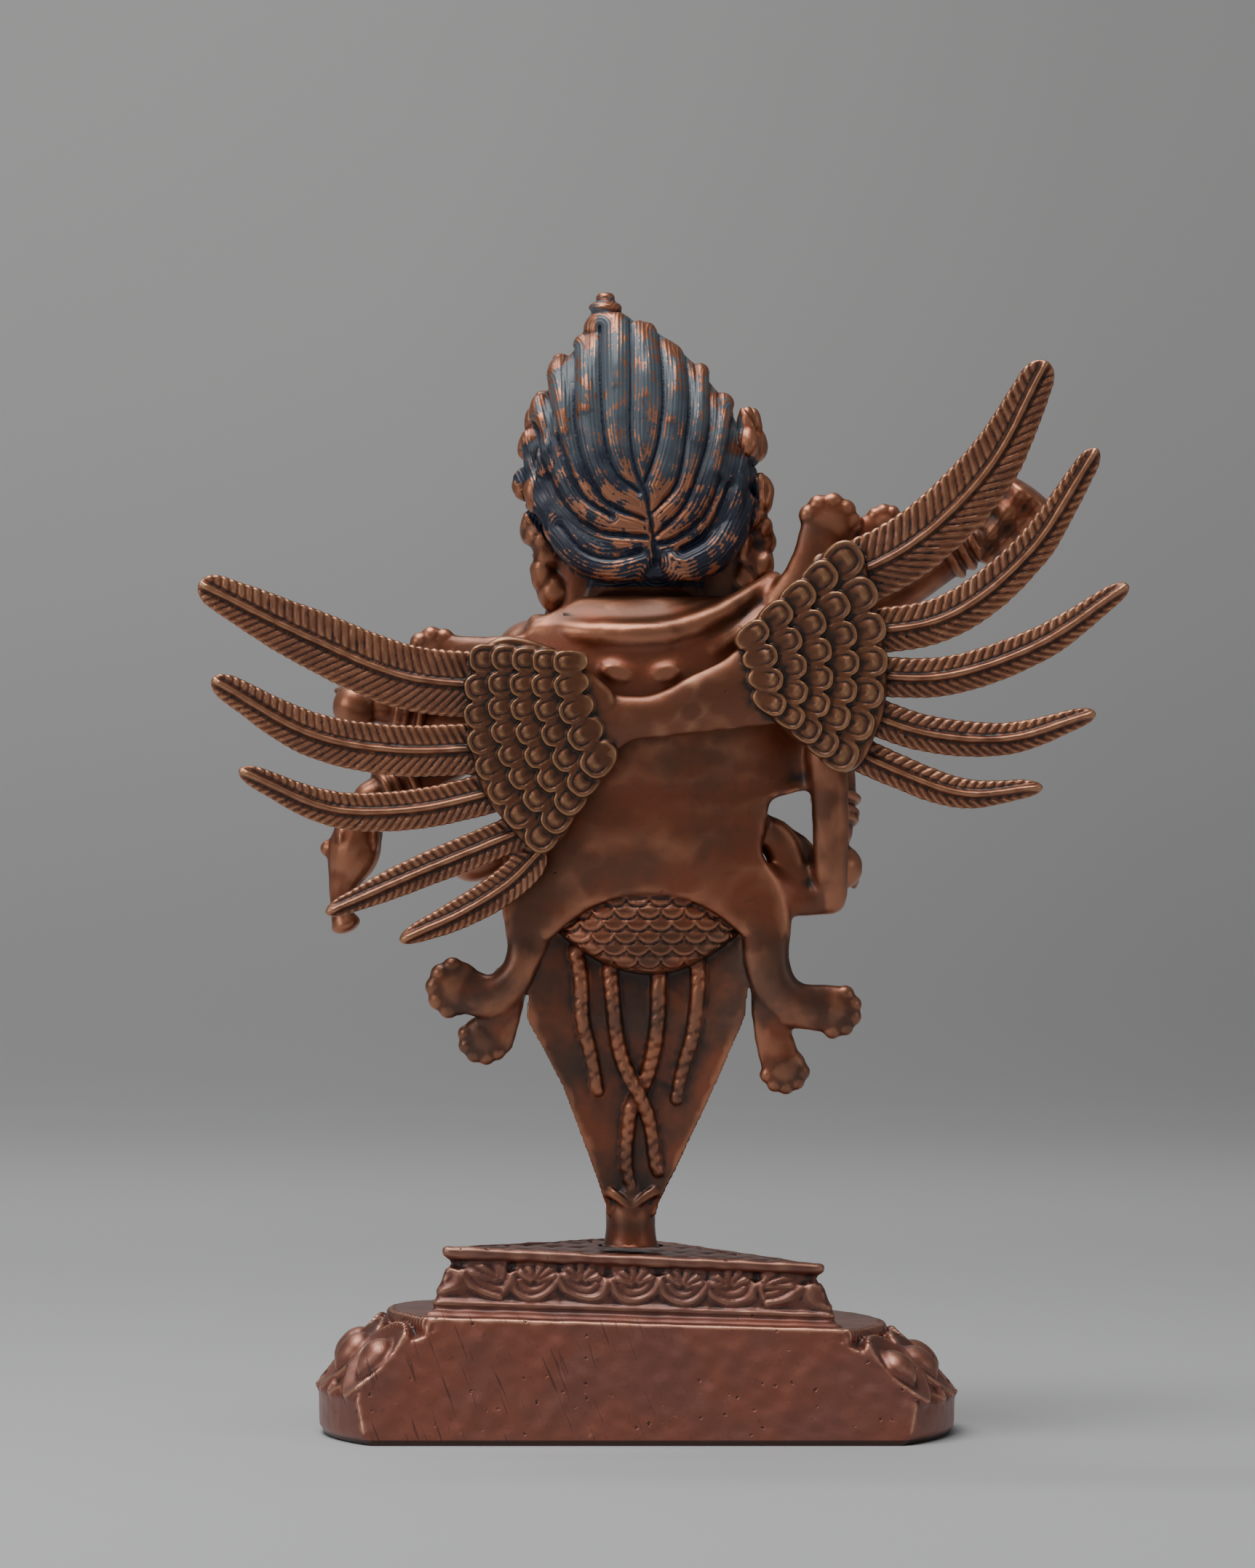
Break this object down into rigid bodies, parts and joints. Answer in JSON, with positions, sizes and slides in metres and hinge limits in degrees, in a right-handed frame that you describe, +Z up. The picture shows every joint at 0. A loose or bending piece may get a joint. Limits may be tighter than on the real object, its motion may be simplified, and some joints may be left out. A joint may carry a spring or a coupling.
{
  "type": "vajrakilaya statue",
  "caption": "Small cast copper statue of a winged, many-armed Himalayan deity whose body ends in a ritual dagger set on a lotus pedestal.",
  "frame": {"origin": "centre of the pedestal's underside, on the surface that the statue stands on", "axes": "+Z up, the figure faces -Y, its winged back faces +Y and +X is the figure's own left"},
  "size_m": [0.0881, 0.0401, 0.1099],
  "materials": {
    "figure_copper": "red-brown patinated copper, worn bright on the high places, with worn dark blue paint on the hair",
    "wing_copper": "golden-brown patinated copper alloy, rubbed bright on feathers and scales, dark in the cuts",
    "pedestal_copper": "red-brown patinated copper with file marks, casting pits and dark recesses"
  },
  "bodies": {
    "root": {"figure": "figure_copper", "wings": "wing_copper", "pedestal": "pedestal_copper"}
  },
  "joints": []
}
